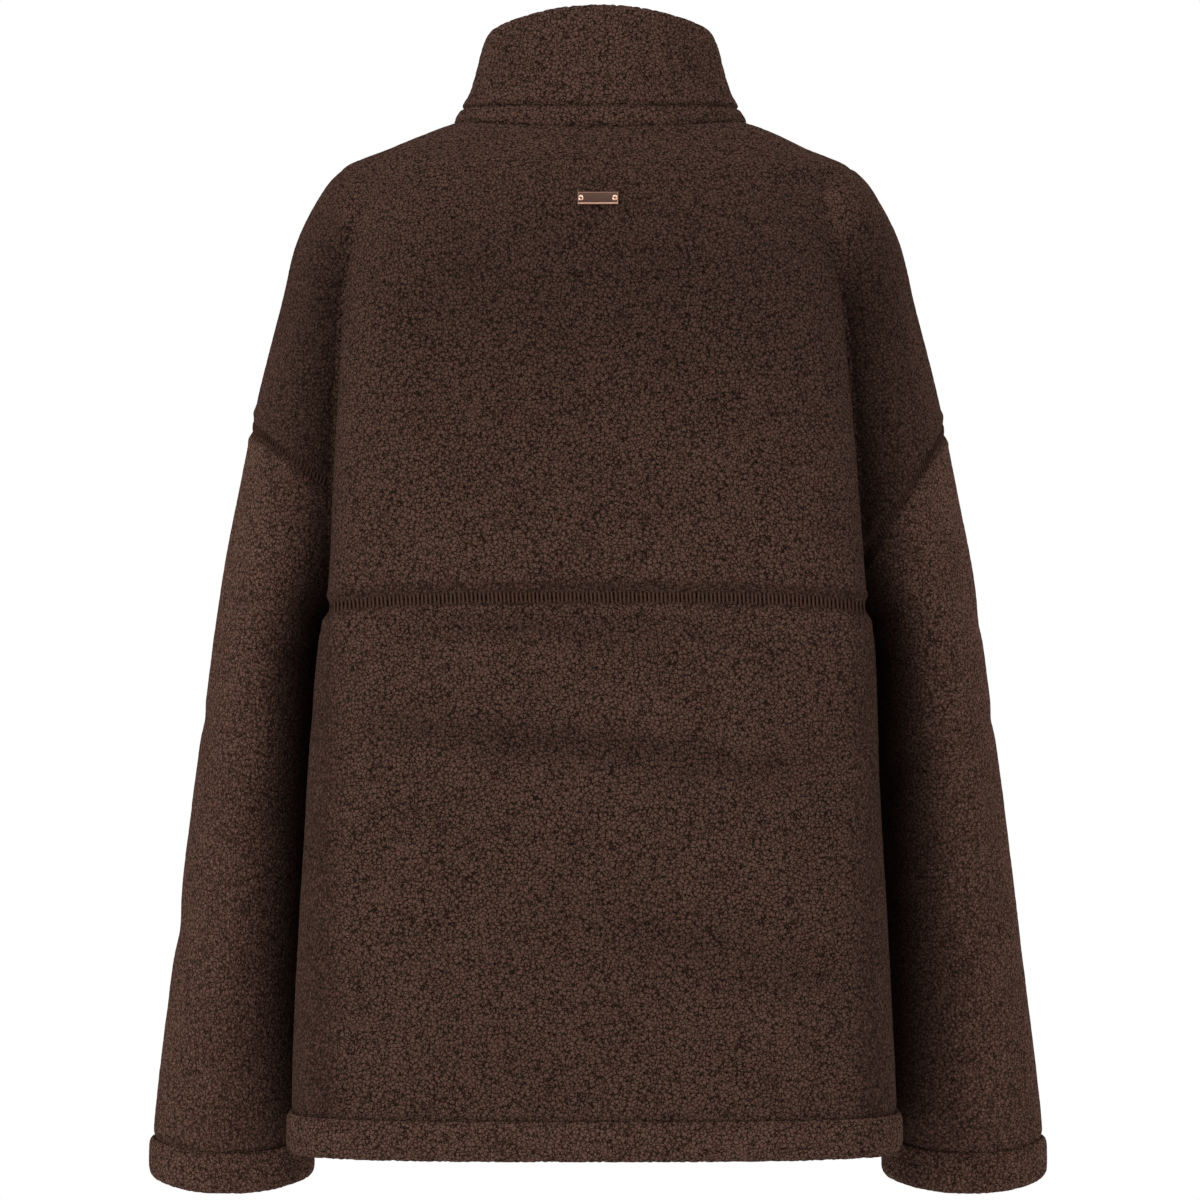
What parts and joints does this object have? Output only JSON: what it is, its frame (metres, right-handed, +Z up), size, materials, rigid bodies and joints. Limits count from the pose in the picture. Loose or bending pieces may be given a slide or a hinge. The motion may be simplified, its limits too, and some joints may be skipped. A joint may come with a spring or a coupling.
{
  "type": "fleece pullover",
  "caption": "Hollow, worn-shape pullover of curly sherpa fleece with a stand collar, dropped shoulders, long sleeves and folded bands at hem and cuffs",
  "frame": {"origin": "shoulder height, in the middle of the neck opening, where the wearer's shoulders hold the garment", "axes": "+Z up along the body, the wearer faces -Y, the wearer's left is +X"},
  "size_m": [0.5942, 0.2704, 0.7735],
  "materials": {
    "fleece": "curly dark brown sherpa pile",
    "band": "folded double sherpa with a stitched groove",
    "plate": "satin rose metal, bare"
  },
  "bodies": {
    "root": {"back_upper": "fleece", "back_lower": "fleece", "front": "fleece", "sleeve_left": "fleece", "sleeve_right": "fleece", "cuff_left": "band", "cuff_right": "band", "hem": "band", "collar": "band", "label_plate": "plate"}
  },
  "joints": []
}
